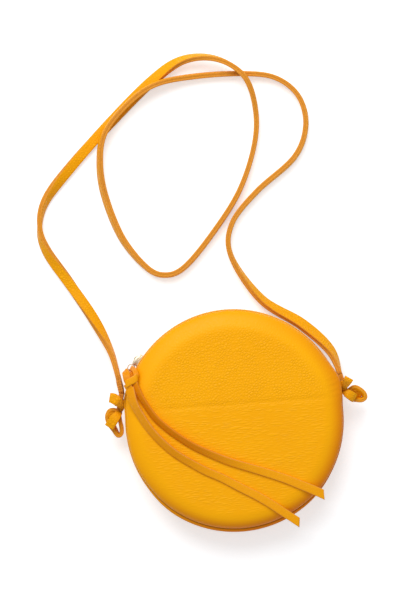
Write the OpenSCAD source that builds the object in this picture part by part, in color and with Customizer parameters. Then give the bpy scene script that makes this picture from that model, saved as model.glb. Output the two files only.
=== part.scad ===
// Round leather shoulder bag that lies on its back.
// The origin is the middle of the back face, +Z points out of the front and +Y to the zip.

/* [Body] */
// Radius of the bag's outline
bag_r = 92; // [80:1:110]
// Depth from the back face to the front face
bag_depth = 44; // [38:1:60]
// Thickness of the leather
leather_t = 1.6; // [1.2:0.1:2]
// Radius of the padded rim of the two faces
rim_r = 9; // [8:0.5:11]
// How far the seams of the faces lie inside the outline
seam_in = 3.2; // [2.6:0.1:3.6]
// Thickness of the padding behind the leather
padding_t = 5; // [3:0.5:5.5]
// Thickness of the stiffening boards
board_t = 1.2; // [0.8:0.1:1.8]
// Thickness of the lining cloth
lining_t = 0.6; // [0.4:0.1:0.8]
// Height of the fold in the front face above its middle
fold_y = 13; // [8:1:16]
// Width of the gap that the fold leaves
fold_gap = 0.4; // [0.3:0.1:0.8]

/* [Mouth and zip] */
// Angle from the top down to each strap tab
tab_angle = 76.5; // [74:0.5:78]
// Width of the window between the two zip strips
zip_window = 10; // [9.6:0.1:11]
// Thickness of the zip tape
tape_t = 0.7; // [0.5:0.1:0.8]
// How far the sewn edge of each zip tape stays from the wall's shoulder
tape_margin = 0.5; // [0.4:0.1:1.5]
// Distance from one tooth to the next on one tape
tooth_pitch = 2.8; // [2.6:0.1:3.4]
// Thickness of a tooth
tooth_t = 2.4; // [2:0.1:2.6]
// Angle from the top down to the last tooth on the open side
teeth_open = 57; // [50:0.5:58]
// Angle from the top down to the middle of the slider
slider_angle = 53; // [50:0.5:55]

/* [Slider and pull] */
// Length of the slider along the zip
slider_l = 10.8; // [9:0.2:12]
// Width of the slider across the zip
slider_w = 9.2; // [8.8:0.1:9.4]
// Thickness of the slider's plates
plate_t = 1.4; // [1:0.1:1.6]
// Radius of the pin that carries the pull
pull_pin_r = 0.8; // [0.6:0.1:1]
// Thickness of the pull link
link_t = 2; // [1.6:0.1:2.2]
// How far the middle of the ring lies past the slider's end
link_reach = 3.2; // [3.2:0.1:4]
// Radius of the hole in the ring
ring_hole_r = 2.5; // [2.2:0.1:2.5]
// Width of the metal round that hole
ring_wall = 0.9; // [0.7:0.1:0.9]

/* [Strap, tabs and lace] */
// Width of the shoulder strap
strap_w = 8.6; // [7:0.2:9]
// Thickness of the two layers of the strap
strap_t = 4.2; // [3:0.2:4.4]
// Length of each tab along the side
tab_l = 6; // [5:0.5:8]
// Width of the strap where it is squeezed in the knots
knot_w = 8; // [6.6:0.2:8.2]
// Thickness of the strap in the knots
knot_t = 3.2; // [2.8:0.1:3.4]
// Width of the lace
lace_w = 6.2; // [5:0.2:7]
// Thickness of the lace
lace_t = 1.8; // [1.4:0.1:2]

/* [Slip pocket] */
// Width of the inner slip pocket
pocket_w = 110; // [80:2:116]
// Height of the inner slip pocket
pocket_h = 80; // [60:2:90]

/* [Hidden] */
$fn = 96;
fit = 0.2;
run = 0.35;
edge_gap = 0.3;
hem = 0.5;
mid_z = bag_depth / 2;
top_a = 90;
flat_r = bag_r - seam_in - rim_r;
rim_z = bag_depth - rim_r;
board_z = bag_depth - leather_t - fit - padding_t;
lining_z = board_z - board_t;
inner_z = lining_z - lining_t;
pad_r = rim_r - leather_t - fit;
face_r = flat_r + sqrt(pad_r * pad_r - pow(board_z - rim_z, 2)) - fit;
inner_r = bag_r - leather_t - fit;
tape_r = inner_r - fit - tape_t;
tape_mid_r = tape_r + tape_t / 2;
core_r = tape_r - fit - lining_t - fit;
strip_z = mid_z + zip_window / 2;
wall_z = rim_z - edge_gap;
shoulder_z = wall_z - seam_in;
tape_z = mid_z + 2;
tape_w = shoulder_z - tape_margin - tape_z;
pitch_a = 360 * tooth_pitch / (2 * PI * tape_mid_r);
tab_half_a = 180 * tab_l / 2 / (PI * bag_r);
gusset_end = tab_angle - tab_half_a - 0.6;
strip_end = gusset_end - 0.4;
teeth_closed = slider_angle - 1.5;
slider_half_a = 180 * slider_l / 2 / (PI * tape_mid_r);
link_l = slider_l / 2 + link_reach;
stop_gap = 2.2;
strap_r = bag_r + run + strap_t / 2 + 1;
stub_half = 8;
lane = strap_w + 2 * run;
YELLOW = [0.98, 0.66, 0.08];
DEEP = [0.80, 0.46, 0.12];
METAL = [0.83, 0.74, 0.58];
CLOTH = [0.80, 0.72, 0.58];

// A band of the side wall between two angles, with square edges
module band(r1, r2, z1, z2, a1, a2) {
    rotate([0, 0, a1])
        rotate_extrude(angle = a2 - a1)
            translate([r1, z1]) square([r2 - r1, z2 - z1]);
}

// Section of the wall's turned edge: a shoulder that runs in to the seam under the rim
module shoulder_blank(radius) {
    circle(radius);
    translate([-leather_t, 0]) square([leather_t, radius]);
}
module shoulder_section() {
    translate([bag_r - seam_in, shoulder_z])
        intersection() {
            difference() {
                shoulder_blank(seam_in);
                shoulder_blank(seam_in - leather_t);
            }
            translate([-leather_t, 0]) square([leather_t + seam_in, seam_in]);
        }
}

// Puts the children on the back of the bag as a mirror image
module on_back() {
    translate([0, 0, bag_depth]) mirror([0, 0, 1]) children();
}

// Keeps the part of a face above or below the fold
module above_fold() {
    intersection() {
        children();
        translate([-bag_r, fold_y + fold_gap / 2, 0]) cube([2 * bag_r, bag_r, bag_depth + 1]);
    }
}
module below_fold() {
    intersection() {
        children();
        translate([-bag_r, -bag_r, 0]) cube([2 * bag_r, bag_r + fold_y - fold_gap / 2, bag_depth + 1]);
    }
}

// Outline of a face with its rolled rim, seen in section
module face_outline(radius) {
    square([flat_r, rim_z + radius]);
    translate([flat_r, rim_z]) circle(radius);
}

module leather_face() {
    rotate_extrude()
        intersection() {
            difference() {
                face_outline(rim_r);
                face_outline(rim_r - leather_t);
            }
            translate([0, rim_z]) square([bag_r, rim_r]);
        }
}

module padding_disc() {
    rotate_extrude()
        intersection() {
            face_outline(pad_r);
            translate([0, board_z]) square([bag_r, rim_r]);
        }
}

module flat_disc(z, t) {
    translate([0, 0, z]) cylinder(h = t, r = face_r);
}

module front_panel_lower() { color(YELLOW) below_fold() leather_face(); }
module front_panel_upper() { color(YELLOW) above_fold() leather_face(); }
module front_padding_lower() { color("white") below_fold() padding_disc(); }
module front_padding_upper() { color("white") above_fold() padding_disc(); }
module front_board_lower() { color("tan") below_fold() flat_disc(lining_z, board_t); }
module front_board_upper() { color("tan") above_fold() flat_disc(lining_z, board_t); }
module front_lining_lower() { color(CLOTH) below_fold() flat_disc(inner_z, lining_t); }
module front_lining_upper() { color(CLOTH) above_fold() flat_disc(inner_z, lining_t); }
module back_panel() { color(YELLOW) on_back() leather_face(); }
module back_padding() { color("white") on_back() padding_disc(); }
module back_board() { color("tan") on_back() flat_disc(lining_z, board_t); }
module back_lining() { color(CLOTH) on_back() flat_disc(inner_z, lining_t); }

// Patch pocket sewn to the back lining along its sides and bottom, open at the top
module slip_pocket() {
    pocket_z = bag_depth - inner_z;
    color(CLOTH)
        translate([-pocket_w / 2, -pocket_h / 2, pocket_z])
            difference() {
                cube([pocket_w, pocket_h, 3 * lining_t]);
                translate([4, 4, -1]) cube([pocket_w - 8, pocket_h, 1 + 2 * lining_t]);
            }
}

// Side wall from one strap tab round the bottom to the other
module lower_gusset() {
    color(YELLOW)
        rotate([0, 0, top_a + gusset_end])
            rotate_extrude(angle = 360 - 2 * gusset_end) {
                translate([bag_r - leather_t, bag_depth - shoulder_z])
                    square([leather_t, 2 * shoulder_z - bag_depth]);
                shoulder_section();
                translate([0, bag_depth]) mirror([0, 1]) shoulder_section();
            }
}
module gusset_lining() {
    top_z = shoulder_z + fit;
    color(CLOTH)
        band(inner_r - lining_t, inner_r, bag_depth - top_z, top_z,
            top_a + gusset_end, top_a + 360 - gusset_end);
}

// Leather strip along the zip, with its free edge turned over and its other edge under the rim
module zip_strip() {
    half = leather_t / 2;
    rotate([0, 0, top_a - strip_end])
        rotate_extrude(angle = 2 * strip_end) {
            translate([bag_r - leather_t, strip_z + half])
                square([leather_t, shoulder_z - strip_z - half]);
            translate([bag_r - half, strip_z + half]) circle(half, $fn = 24);
            shoulder_section();
        }
}
module strip_lining() {
    band(core_r, core_r + lining_t, strip_z + hem, wall_z - leather_t - edge_gap,
        top_a - strip_end, top_a + strip_end);
}
module zip_tape() {
    band(tape_r, tape_r + tape_t, tape_z, tape_z + tape_w, top_a - strip_end, top_a + strip_end);
}
module front_zip_strip() { color(YELLOW) zip_strip(); }
module back_zip_strip() { color(YELLOW) on_back() zip_strip(); }
module front_strip_lining() { color(CLOTH) strip_lining(); }
module back_strip_lining() { color(CLOTH) on_back() strip_lining(); }
module front_zip_tape() { color(DEEP) zip_tape(); }
module back_zip_tape() { color(DEEP) on_back() zip_tape(); }

// One tooth: a foot that grips the tape's edge, a waist and a head that reaches past the middle
module tooth() {
    foot = tooth_pitch * 0.3;
    waist = tooth_pitch * 0.2;
    head = tooth_pitch * 0.16;
    translate([tape_mid_r - tooth_t / 2, 0, mid_z])
        rotate([90, 0, 90])
            linear_extrude(tooth_t)
                polygon([[-foot, 3], [-foot, 1.4], [-waist, 0.7], [-head, -0.9],
                    [head, -0.9], [waist, 0.7], [foot, 1.4], [foot, 3]]);
}
// A row of teeth on the cord at the edge of the tape
module teeth_row(shift) {
    first = top_a + teeth_closed - shift;
    count = floor((teeth_open + teeth_closed - shift) / pitch_a);
    last = first - count * pitch_a;
    difference() {
        union() {
            for (i = [0 : count])
                rotate([0, 0, first - i * pitch_a]) tooth();
            band(tape_mid_r - 0.9, tape_mid_r + 0.9, tape_z - 0.4, tape_z + 0.7, last, first);
        }
        band(tape_r, tape_r + tape_t, tape_z, tape_z + tape_w, last - 2, first + 2);
    }
}
module front_zip_teeth() { color(METAL) teeth_row(0); }
module back_zip_teeth() { color(METAL) on_back() teeth_row(pitch_a / 2); }

// Metal clip over the edge of one tape, where the closed slider ends
module top_stop() {
    half_a = 0.8;
    at = top_a + slider_angle + slider_half_a + half_a + 180 * stop_gap / (PI * tape_mid_r);
    difference() {
        band(tape_mid_r - 1, tape_mid_r + 1, mid_z + 0.6, mid_z + 3, at - half_a, at + half_a);
        band(tape_r, tape_r + tape_t, tape_z, mid_z + 4, at - 2, at + 2);
    }
}
module front_top_stop() { color(METAL) top_stop(); }
module back_top_stop() { color(METAL) on_back() top_stop(); }

// Metal clip across both tapes, below the last tooth on the open side
module bottom_stop() {
    half_a = 0.9;
    at = top_a - teeth_open - 2.6;
    color(METAL)
        difference() {
            band(tape_mid_r - 1.2, tape_mid_r + 1.2, mid_z - 3, mid_z + 3, at - half_a, at + half_a);
            band(tape_r - run, tape_r + tape_t + run, tape_z - run, mid_z + 4, at - 2, at + 2);
            band(tape_r, tape_r + tape_t, mid_z - 4, bag_depth - tape_z, at - 2, at + 2);
        }
}

// Outline of the slider: round corners, and a notch between the two mouths
module slider_outline() {
    corner = slider_w * 0.2;
    notch = slider_w * 0.16;
    difference() {
        union() {
            for (x = [-1, 1], y = [-1, 1])
                translate([x * (slider_l / 2 - corner), y * (slider_w / 2 - corner)]) circle(corner, $fn = 48);
            square([slider_l - 2 * corner, slider_w], center = true);
            square([slider_l, slider_w - 2 * corner], center = true);
        }
        translate([slider_l / 2 + notch / 2, 0]) circle(notch, $fn = 48);
    }
}
// Keeps what lies inside that outline
module trim_to_slider(at) {
    intersection() {
        union() children();
        rotate([0, 0, at])
            translate([core_r - slider_w, 0, mid_z])
                rotate([90, 0, 90])
                    linear_extrude(3 * slider_w) slider_outline();
    }
}

// Slider: two plates with turned flanges, a wedge between them, and ears with a pin for the pull
module zip_slider() {
    half_a = 1.3 * slider_half_a;
    half_w = slider_w / 2;
    at = top_a + slider_angle;
    inside = tooth_t / 2 + 0.6;
    low = tape_mid_r - inside;
    high = tape_mid_r + inside;
    lip = tape_t / 2 + run;
    ear = link_t / 2 + 0.3;
    lip_z = mid_z + half_w - 0.7;
    color(METAL) {
        trim_to_slider(at) {
            difference() {
                band(low - plate_t, high + plate_t, mid_z - slider_w, mid_z + slider_w, at - half_a, at + half_a);
                band(low, high, bag_depth - lip_z, lip_z, at - 2 * half_a, at + 2 * half_a);
                band(tape_mid_r - lip, tape_mid_r + lip, mid_z - 2 * slider_w, mid_z + 2 * slider_w,
                    at - 2 * half_a, at + 2 * half_a);
            }
        }
        for (flip = [0, 1])
            translate([0, 0, flip * bag_depth])
                mirror([0, 0, flip])
                    rotate([0, 0, at])
                        translate([high + 0.5, 0, mid_z + ear]) pull_ear();
        band(low - 0.1, high + 0.1, mid_z - 0.9, mid_z + 0.9,
            at + slider_half_a * 0.3, at + slider_half_a * 0.65);
        rotate([0, 0, at])
            translate([pin_r(), 0, mid_z - ear - 0.4]) cylinder(h = 2 * ear + 0.8, r = pull_pin_r);
    }
}
function pin_r() = tape_mid_r + tooth_t / 2 + 0.6 + plate_t + 2.2;
module pull_ear() {
    rise = pin_r() - (tape_mid_r + tooth_t / 2 + 0.6) - 0.5;
    linear_extrude(0.8) {
        translate([0, -2.4]) square([rise, 4.8]);
        translate([rise, 0]) circle(2.4, $fn = 48);
    }
}

// Pull link: an eye on the slider's pin and a ring for the lace
module pull_link() {
    at = top_a + slider_angle;
    color(METAL)
        rotate([0, 0, at])
            translate([pin_r(), 0, mid_z - link_t / 2])
                linear_extrude(link_t)
                    difference() {
                        union() {
                            circle(pull_pin_r + 1, $fn = 48);
                            translate([-0.9, 0]) square([1.8, link_l - ring_hole_r]);
                            translate([0, link_l]) circle(ring_hole_r + ring_wall, $fn = 64);
                        }
                        circle(pull_pin_r + 0.08, $fn = 48);
                        translate([0, link_l]) circle(ring_hole_r, $fn = 64);
                    }
}

// Leather loop that holds a knotted end of the strap
module side_tab() {
    wall = leather_t;
    open_r = strap_t + 2 * run + 1;
    outer_z = lane + 2 * wall;
    rotate([90, 0, 0])
        translate([0, 0, -tab_l / 2])
            linear_extrude(tab_l)
                difference() {
                    translate([0, -outer_z / 2]) {
                        square([open_r + wall - 3, outer_z]);
                        translate([0, 3]) square([open_r + wall, outer_z - 6]);
                        for (y = [3, outer_z - 3])
                            translate([open_r + wall - 3, y]) circle(3, $fn = 48);
                    }
                    translate([1, -lane / 2]) square([open_r - 1, lane]);
                }
}
module left_tab() {
    color(YELLOW) rotate([0, 0, top_a + tab_angle]) translate([bag_r + 0.05, 0, mid_z]) side_tab();
}
module right_tab() {
    color(YELLOW) rotate([0, 0, top_a - tab_angle]) translate([bag_r + 0.05, 0, mid_z]) side_tab();
}

// Smooth curve through points that hold x, y, z and the roll of the strap
function blend(a, b, c, d, t) = 0.5 * (2 * b + (c - a) * t + (2 * a - 5 * b + 4 * c - d) * t * t
    + (3 * b - a - 3 * c + d) * t * t * t);
function smooth(p, steps) = [for (i = [0 : len(p) - 2], k = [0 : steps - 1])
    blend(p[max(i - 1, 0)], p[i], p[i + 1], p[min(i + 2, len(p) - 1)], k / steps), p[len(p) - 1]];
function place(p) = [p.x, p.y, p.z];
function unit(v) = v / norm(v);
function section(w, t, c) = [[w, t - c], [w - c, t], [c - w, t], [-w, t - c],
    [-w, c - t], [c - w, -t], [w - c, -t], [w, c - t]];

// Flat strip swept along a smooth curve; ends gives the directions in which it starts and stops,
// and a fifth value in its points is the share of the width there
module strip(points, w, t, steps, ends, up = [0, 0, 1]) {
    p = smooth(points, steps);
    last = len(p) - 1;
    ring = section(w / 2, t / 2, t * 0.22);
    sides = len(ring);
    vertices = [for (i = [0 : last])
        let (ahead = i == 0 ? unit(ends[0]) : i == last ? unit(ends[1])
                : unit(place(p[i + 1]) - place(p[i - 1])),
            left = unit(cross(up, ahead)),
            over = cross(ahead, left),
            across = left * cos(p[i][3]) + over * sin(p[i][3]),
            through = over * cos(p[i][3]) - left * sin(p[i][3]))
        for (s = ring) place(p[i]) + across * s.x * (len(p[i]) > 4 ? p[i][4] : 1) + through * s.y];
    walls = [for (i = [0 : last - 1], j = [0 : sides - 1])
        let (a = i * sides + j, b = i * sides + (j + 1) % sides)
        for (f = [[a, b, b + sides], [a, b + sides, a + sides]]) f];
    caps = [for (j = [1 : sides - 2]) for (f = [[0, j + 1, j],
        [last * sides, last * sides + j, last * sides + j + 1]]) f];
    polyhedron(points = vertices, faces = [for (f = concat(walls, caps)) [f[2], f[1], f[0]]], convexity = 6);
}

// Ends of the strap at the tabs: a place on the line through each tab and the line's direction
left_dir = [cos(tab_angle), sin(tab_angle), 0];
right_dir = [cos(tab_angle), -sin(tab_angle), 0];
left_mid = [-strap_r * sin(tab_angle), strap_r * cos(tab_angle), mid_z];
right_mid = [strap_r * sin(tab_angle), strap_r * cos(tab_angle), mid_z];
left_start = left_mid + left_dir * stub_half;
right_start = right_mid - right_dir * stub_half;

// Route of the strap from the left tab to the right tab
strap_route = [
    [-91.8, 37, 18.4, 73], [-93, 44, 14, 76], [-98, 66, 7, 56], [-110, 94, 4.2, 24],
    [-128, 126, 3, -6], [-144, 154, 4.9, -48], [-148, 174, 4.9, -84], [-141, 196, 5, -116], [-118, 222, 4, -158],
    [-82, 256, 2.7, -184], [-44, 288, 3.5, -193], [-16, 303, 8.8, -232], [12, 301, 13.2, -256],
    [34, 284, 13.9, -269], [41, 256, 7, -270], [37, 226, 4.6, -270], [21, 189, 4.7, -268],
    [-5, 155, 4.7, -266], [-30, 130, 4.7, -265], [-47, 125, 4.7, -266], [-62, 133, 4.8, -262],
    [-80, 159, 4.9, -253], [-91, 194, 5, -250], [-93, 222, 8.6, -254], [-87, 247, 10.2, -259],
    [-67, 269, 10.6, -260], [-42, 284, 11.4, -259], [-9, 289, 5.2, -257], [32, 288, 4.7, -260],
    [60, 282, 4.8, -262], [78, 265, 4.8, -263], [82, 240, 4.8, -264], [70, 214, 4.8, -264],
    [36, 188, 4.8, -265], [13, 163, 4.8, -267], [10, 136, 4.8, -265], [32, 98, 5, -235],
    [64, 74, 5.6, -220], [85, 51, 11.5, -234]
];
module shoulder_strap() {
    route = concat([[left_start.x, left_start.y, left_start.z, 90]], strap_route,
        [[right_start.x, right_start.y, right_start.z, -270]]);
    color(YELLOW) strip(route, strap_w, strap_t, 2, [left_dir, right_dir]);
}

// Straight piece of strap through a tab, from the free strap to the knot
module stub(start, dir, knot_len) {
    end = start - dir * (2 * stub_half + knot_len);
    strip([[start.x, start.y, start.z, 90], [end.x, end.y, end.z, 90]],
        strap_w, strap_t, 1, [-dir, -dir]);
}
// Free part of the strap in each knot: a loop, a fold that lies over it, and the cut end
left_loop = [
    [-95.2, 12.6, 20.5, 90, 1], [-95.2, 7, 20, 87, 1], [-95.3, 1.6, 19.2, 84, 1], [-96, -3, 18.6, 86, 1],
    [-99, -3.6, 18.4, 84, 1], [-101, 1, 18.6, 74, 1], [-102.8, 6.2, 19.4, 62, 1], [-103.2, 11.2, 20.2, 54, 1],
    [-101.2, 15.2, 21, 56, 1], [-97.8, 16, 21.6, 70, 1], [-94.9, 15, 22, 84, 0.9]
];
left_fold = [
    [-93.8, 14.5, 24.5, 0, 0.5], [-95.2, 13, 27.4, 0, 0.75], [-97.8, 10.6, 28.9, 3, 0.95],
    [-100.7, 7, 28.2, 5, 1], [-103.1, 3.6, 26.6, 6, 1]
];
left_end = [
    [-94.6, 14.2, 25, 0, 0.35], [-94.2, 15.8, 28.6, 0, 0.4], [-94.6, 18.8, 30.6, 0, 0.55],
    [-95.8, 22.8, 31.2, 0, 0.8], [-98.2, 26, 30.8, 0, 1], [-100.8, 27.8, 30, 0, 1]
];
right_loop = [
    [96, 15.2, 20.8, 82, 0.9], [98.8, 16, 21, 66, 1], [102.2, 16.8, 20.8, 54, 1], [106, 14.8, 20.4, 58, 1],
    [109.2, 12, 20, 72, 1], [109.8, 9, 19.8, 80, 1], [107.2, 7.4, 19.6, 82, 1], [103.4, 8, 19.4, 78, 1],
    [99.4, 9, 19.6, 80, 1], [96.2, 10.8, 20, 86, 0.9]
];
right_fold = [
    [94.2, 15, 24.5, 0, 0.5], [95, 14.2, 27.6, 0, 0.7], [97.2, 12.4, 28.7, -4, 0.9],
    [99.8, 10.4, 27.8, -6, 0.95], [101.6, 8.8, 25.2, -6, 0.95]
];
right_end = [
    [94.6, 14.2, 25, 0, 0.35], [94.2, 15.8, 28.6, 0, 0.4], [94.2, 19.2, 30.6, 0, 0.55],
    [95.4, 23, 31, 0, 0.8], [97.8, 26, 30.4, 0, 1]
];
module knot_bands(bands) {
    for (band = bands)
        strip(band, knot_w, knot_t, 2, [place(band[1]) - place(band[0]),
            place(band[len(band) - 1]) - place(band[len(band) - 2])]);
}
module left_knot() {
    color(YELLOW) {
        stub(left_start, left_dir, 3);
        knot_bands([left_loop, left_fold, left_end]);
    }
}
module right_knot() {
    color(YELLOW) {
        stub(right_start, -right_dir, 3);
        knot_bands([right_loop, right_fold, right_end]);
    }
}

// Tails of the lace, from the hitch over the front to their cut ends
rest_z = bag_depth + fit + lace_t / 2;
upper_route = [
    [-78.4, 37.2, rest_z + 0.4, 20], [-73, 24, rest_z + 1.6, 28], [-65, 10, rest_z + 1.5, 30],
    [-57, 1, rest_z + 1.5, 30], [-47, -8, rest_z + 1.5, 29], [-35, -17, rest_z + 1.4, 27],
    [-21, -25, rest_z + 1.2, 23], [-7, -32, rest_z + 0.9, 17], [8, -38, rest_z + 0.6, 10],
    [23, -44, rest_z + 0.2, 4], [37, -50, rest_z, 0],
    [49, -56, rest_z, 0], [59, -61, rest_z, 0], [68, -66, rest_z - 0.8, 0]
];
lower_route = [
    [-83, 34.4, rest_z + 0.7, 20], [-80, 21, rest_z + 1.6, 28], [-74, 8, rest_z + 1.5, 30],
    [-68, -2, rest_z + 1.5, 30], [-60, -12, rest_z + 1.5, 28], [-50, -22, rest_z + 1.3, 24],
    [-39, -30, rest_z + 1, 18], [-27, -38, rest_z + 0.6, 11], [-14, -45, rest_z + 0.3, 5],
    [0, -54, rest_z, 0], [13, -62, rest_z, 0],
    [23, -69, rest_z, 0], [32, -76, rest_z + 0.1, 0], [46, -87, rest_z - 0.9, 0]
];
module upper_tail() {
    color(DEEP) strip(upper_route, lace_w, lace_t, 2, [hitch_way, [9, -5, -0.8]]);
}
module lower_tail() {
    color(DEEP) strip(lower_route, lace_w, lace_t, 2, [hitch_way, [14, -11, -1]]);
}

// Hitch of the lace: two legs run through the ring and back, and a band holds them and the tails
hitch_mid = [-82, 39, rest_z + 0.3];
hitch_turn = 28;
hitch_way = [sin(hitch_turn), -cos(hitch_turn), 0];
hitch_l = 10.8;
hitch_h = 5;
module lace_leg(side) {
    foot = [pin_r() * cos(top_a + slider_angle) + link_l * cos(top_a + slider_angle + 90),
        pin_r() * sin(top_a + slider_angle) + link_l * sin(top_a + slider_angle + 90)];
    reach = ring_hole_r + ring_wall + 1.4;
    x = foot.x + side * 1.15;
    path = [
        [hitch_mid.x + side * 2, hitch_mid.y + 2, rest_z, 90],
        [x - 0.5, foot.y - 5, rest_z - 3, 90],
        [x, foot.y - 0.6, rest_z - 11, 90],
        [x, foot.y, mid_z + 4, 90],
        [x, foot.y, mid_z - 2, 90],
        [x - 1.2, foot.y - reach / 2, mid_z - 4.2, 90],
        [x - 2.4, foot.y - reach, mid_z - 1, 90],
        [x - 2.6, foot.y - reach - 0.6, mid_z + 6, 90],
        [x - 2.4, foot.y - reach - 1.6, rest_z - 8, 90],
        [hitch_mid.x + side * 2, hitch_mid.y + 1.4, rest_z - 1.6, 90]
    ];
    strip(path, 2, 1.3, 2, [[0, 1, -0.5], [0, -1, 0.6]], [1, 0, 0]);
}
module lace_hitch() {
    color(DEEP) {
        lace_leg(-1);
        lace_leg(1);
        translate(hitch_mid)
            rotate([90, 0, hitch_turn])
                translate([-hitch_l / 2, -hitch_h / 2, -lace_w / 2])
                    linear_extrude(lace_w) {
                        translate([1.5, 0]) square([hitch_l - 3, hitch_h]);
                        translate([0, 1.5]) square([hitch_l, hitch_h - 3]);
                        for (x = [1.5, hitch_l - 1.5], y = [1.5, hitch_h - 1.5])
                            translate([x, y]) circle(1.5, $fn = 32);
                    }
    }
}

front_panel_lower();
front_panel_upper();
front_padding_lower();
front_padding_upper();
front_board_lower();
front_board_upper();
front_lining_lower();
front_lining_upper();
back_panel();
back_padding();
back_board();
back_lining();
slip_pocket();
lower_gusset();
gusset_lining();
front_zip_strip();
back_zip_strip();
front_strip_lining();
back_strip_lining();
front_zip_tape();
back_zip_tape();
front_zip_teeth();
back_zip_teeth();
front_top_stop();
back_top_stop();
bottom_stop();
zip_slider();
pull_link();
lace_hitch();
upper_tail();
lower_tail();
left_tab();
right_tab();
left_knot();
right_knot();
shoulder_strap();
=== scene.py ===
import math

import bmesh
import bpy
from mathutils import Matrix, Vector, noise


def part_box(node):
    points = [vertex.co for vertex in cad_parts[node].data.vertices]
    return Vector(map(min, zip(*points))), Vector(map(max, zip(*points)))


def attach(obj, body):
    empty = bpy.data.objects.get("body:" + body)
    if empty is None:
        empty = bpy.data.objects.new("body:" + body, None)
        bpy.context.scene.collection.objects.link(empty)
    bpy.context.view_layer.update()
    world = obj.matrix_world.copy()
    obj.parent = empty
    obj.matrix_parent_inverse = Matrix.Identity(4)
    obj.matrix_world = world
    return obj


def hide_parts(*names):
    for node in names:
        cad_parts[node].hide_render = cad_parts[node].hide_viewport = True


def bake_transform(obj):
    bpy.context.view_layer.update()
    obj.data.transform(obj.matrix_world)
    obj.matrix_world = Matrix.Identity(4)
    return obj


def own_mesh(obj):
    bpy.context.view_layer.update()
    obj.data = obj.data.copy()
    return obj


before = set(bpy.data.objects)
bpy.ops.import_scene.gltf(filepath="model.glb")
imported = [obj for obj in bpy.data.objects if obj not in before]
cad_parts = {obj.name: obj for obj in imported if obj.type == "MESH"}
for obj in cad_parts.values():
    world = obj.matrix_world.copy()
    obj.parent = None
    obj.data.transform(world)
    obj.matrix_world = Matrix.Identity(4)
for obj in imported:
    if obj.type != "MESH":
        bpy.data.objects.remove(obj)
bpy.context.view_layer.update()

mm = 0.001  # every size below is in millimetres, and a finished mesh is scaled once


def boxInMm(node):
    low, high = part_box(node)
    return [value / mm for value in low], [value / mm for value in high]


# Camera, light and floor

cameraView = {"place": (-19.3, 101.6, 1600), "turn": -5, "lens": 114, "sensor": 36}
studio = {
    "worldStrength": 0.5, "worldShine": 0.6,
    "lampPower": 15.5, "lampSize": 1.1, "lampPlace": (-190, 980, 1120), "lampAim": (0, 60, 20),
    "floorHalf": 6000, "floorZ": -0.3, "floorColor": (0.84, 0.865, 0.89, 1), "floorLift": 0.45,
}


def addNode(tree, kind, values=None, **settings):
    made = tree.nodes.new("ShaderNode" + kind)
    for key, value in settings.items():
        setattr(made, key, value)
    for key, value in (values or {}).items():
        if isinstance(value, bpy.types.NodeSocket):
            tree.links.new(value, made.inputs[key])
        else:
            made.inputs[key].default_value = value
    return made


def calc(tree, operation, first, second=0.0, clamp=False):
    made = addNode(tree, "Math", {0: first, 1: second}, operation=operation, use_clamp=clamp)
    return made.outputs[0]


def ramp(tree, value, low, high, toLow=0.0, toHigh=1.0):
    values = {"Value": value, "From Min": low, "From Max": high, "To Min": toLow, "To Max": toHigh}
    return addNode(tree, "MapRange", values, interpolation_type="SMOOTHSTEP").outputs["Result"]


def mixColor(tree, factor, first, second, kind="MIX"):
    made = addNode(tree, "Mix", data_type="RGBA", blend_type=kind)
    for place, value in ((0, factor), (6, first), (7, second)):
        if isinstance(value, bpy.types.NodeSocket):
            tree.links.new(value, made.inputs[place])
        else:
            made.inputs[place].default_value = value
    return made.outputs[2]


def makeCamera():
    data = bpy.data.cameras.new("photoCamera")
    data.sensor_width = cameraView["sensor"]
    data.lens = cameraView["lens"]
    data.clip_end = 20
    camera = bpy.data.objects.new("photoCamera", data)
    camera.location = Vector(cameraView["place"]) * mm
    camera.rotation_euler = (0, 0, math.radians(cameraView["turn"]))
    bpy.context.collection.objects.link(camera)
    bpy.context.scene.camera = camera
    bpy.context.scene.view_settings.view_transform = "Standard"


def makeLight():
    world = bpy.data.worlds.new("studioWorld")
    world.use_nodes = True
    background = world.node_tree.nodes["Background"]
    background.inputs["Color"].default_value = (1, 1, 1, 1)
    tree = world.node_tree
    path = addNode(tree, "LightPath").outputs
    shine = ramp(tree, path["Is Glossy Ray"], 0, 1, studio["worldStrength"], studio["worldShine"])
    strength = calc(tree, "MAXIMUM", shine, path["Is Camera Ray"])
    tree.links.new(strength, background.inputs["Strength"])
    bpy.context.scene.world = world
    data = bpy.data.lights.new("softLamp", "AREA")
    data.shape = "DISK"
    data.size = studio["lampSize"]
    data.energy = studio["lampPower"]
    lamp = bpy.data.objects.new("softLamp", data)
    lamp.location = Vector(studio["lampPlace"]) * mm
    aim = Vector(studio["lampAim"]) * mm - lamp.location
    lamp.rotation_euler = aim.to_track_quat("-Z", "Y").to_euler()
    lamp.visible_camera = False
    bpy.context.collection.objects.link(lamp)


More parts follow.
